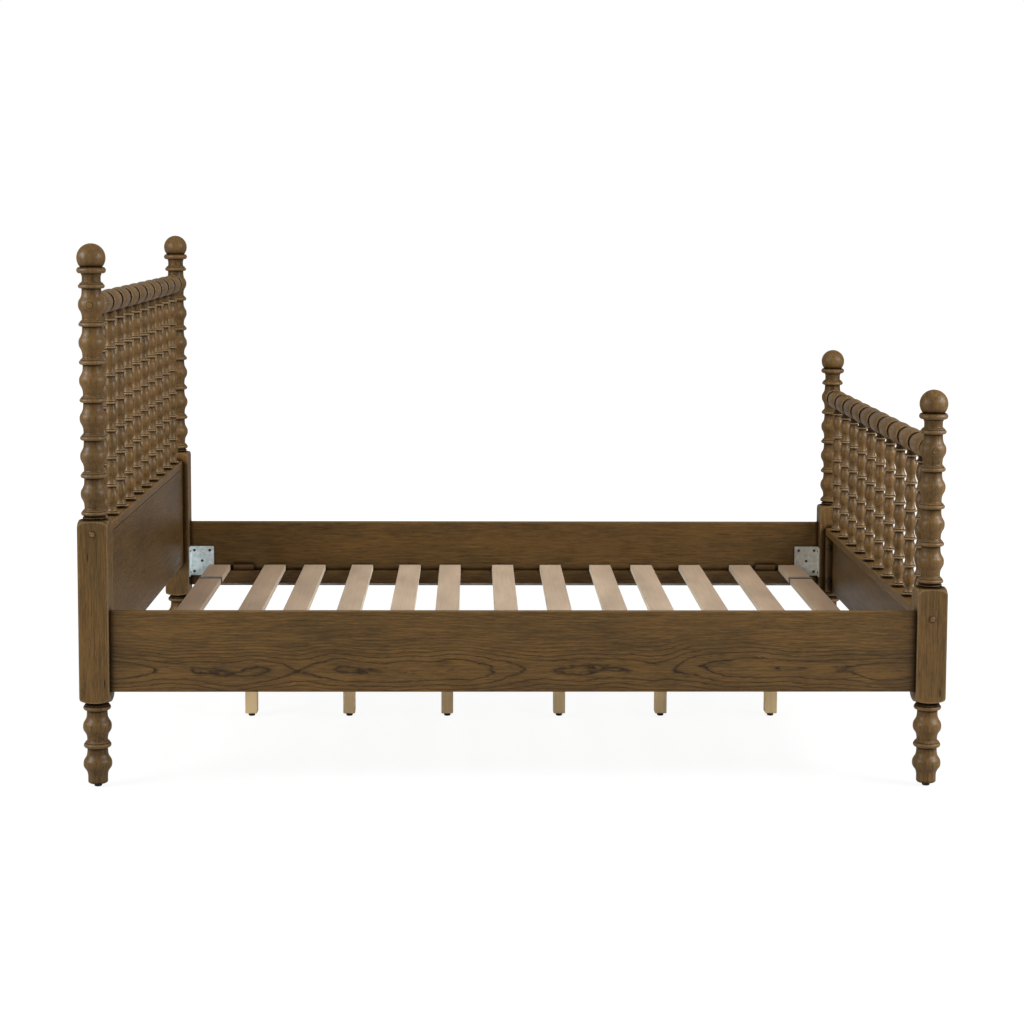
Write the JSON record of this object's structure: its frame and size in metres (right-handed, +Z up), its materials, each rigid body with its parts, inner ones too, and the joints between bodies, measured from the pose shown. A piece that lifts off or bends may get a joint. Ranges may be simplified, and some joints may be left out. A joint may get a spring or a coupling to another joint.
{
  "type": "spindle bed",
  "caption": "Wooden bed frame with bobbin-turned posts, rails and spindles, plain lower panels, side rails, slats on ledgers and levelling centre legs.",
  "frame": {"origin": "on the floor, under the middle of the bed's bounding box", "axes": "+X along the bed from the head to the foot, +Y across the bed, +Z up"},
  "size_m": [2.1942, 1.6272, 1.3797],
  "materials": {
    "stained_wood": "satin brown stain with darker glaze in the turnings",
    "slat_wood": "bare planed softwood",
    "leg_wood": "bare planed softwood",
    "ledger_wood": "satin brown stain",
    "bracket_steel": "zinc plated",
    "screw_steel": "zinc plated",
    "bolt_steel": "black oxide",
    "glide_plastic": "moulded black",
    "webbing": "flat woven strap"
  },
  "bodies": {
    "frame": {"button_plugs": "stained_wood", "cap_rail_foot": "stained_wood", "cap_rail_head": "stained_wood", "centre_leg_1": "leg_wood", "centre_leg_2": "leg_wood", "centre_leg_3": "leg_wood", "centre_leg_4": "leg_wood", "centre_leg_5": "leg_wood", "centre_leg_6": "leg_wood", "cleat_bolts": "bolt_steel", "glue_blocks": "stained_wood", "ledger_far": "ledger_wood", "ledger_near": "ledger_wood", "panel_cleats_foot": "stained_wood", "panel_cleats_head": "stained_wood", "panel_foot": "stained_wood", "panel_head": "stained_wood", "post_foot_far": "stained_wood", "post_foot_near": "stained_wood", "post_glides": "glide_plastic", "post_head_far": "stained_wood", "post_head_near": "stained_wood", "post_screws": "screw_steel", "rail_brackets": "bracket_steel", "rail_plugs": "stained_wood", "side_rail_far": "stained_wood", "side_rail_near": "stained_wood", "slat_stops": "slat_wood", "slats": "slat_wood", "spindle_foot_01": "stained_wood", "spindle_foot_02": "stained_wood", "spindle_foot_03": "stained_wood", "spindle_foot_04": "stained_wood", "spindle_foot_05": "stained_wood", "spindle_foot_06": "stained_wood", "spindle_foot_07": "stained_wood", "spindle_foot_08": "stained_wood", "spindle_foot_09": "stained_wood", "spindle_foot_10": "stained_wood", "spindle_head_01": "stained_wood", "spindle_head_02": "stained_wood", "spindle_head_03": "stained_wood", "spindle_head_04": "stained_wood", "spindle_head_05": "stained_wood", "spindle_head_06": "stained_wood", "spindle_head_07": "stained_wood", "spindle_head_08": "stained_wood", "spindle_head_09": "stained_wood", "spindle_head_10": "stained_wood", "top_rail_foot": "stained_wood", "top_rail_head": "stained_wood", "webbing_strap_far": "webbing", "webbing_strap_near": "webbing", "wood_screws": "screw_steel"},
    "leveller_1": {"leveller_1": "glide_plastic"},
    "leveller_2": {"leveller_2": "glide_plastic"},
    "leveller_3": {"leveller_3": "glide_plastic"},
    "leveller_4": {"leveller_4": "glide_plastic"},
    "leveller_5": {"leveller_5": "glide_plastic"},
    "leveller_6": {"leveller_6": "glide_plastic"}
  },
  "joints": [
    {"name": "leveller_1_screw", "type": "slide", "parent": "frame", "child": "leveller_1", "axis": [0, 0, -1], "range_m": [0, 0.012]},
    {"name": "leveller_2_screw", "type": "slide", "parent": "frame", "child": "leveller_2", "axis": [0, 0, -1], "range_m": [0, 0.012]},
    {"name": "leveller_3_screw", "type": "slide", "parent": "frame", "child": "leveller_3", "axis": [0, 0, -1], "range_m": [0, 0.012]},
    {"name": "leveller_4_screw", "type": "slide", "parent": "frame", "child": "leveller_4", "axis": [0, 0, -1], "range_m": [0, 0.012]},
    {"name": "leveller_5_screw", "type": "slide", "parent": "frame", "child": "leveller_5", "axis": [0, 0, -1], "range_m": [0, 0.012]},
    {"name": "leveller_6_screw", "type": "slide", "parent": "frame", "child": "leveller_6", "axis": [0, 0, -1], "range_m": [0, 0.012]}
  ]
}
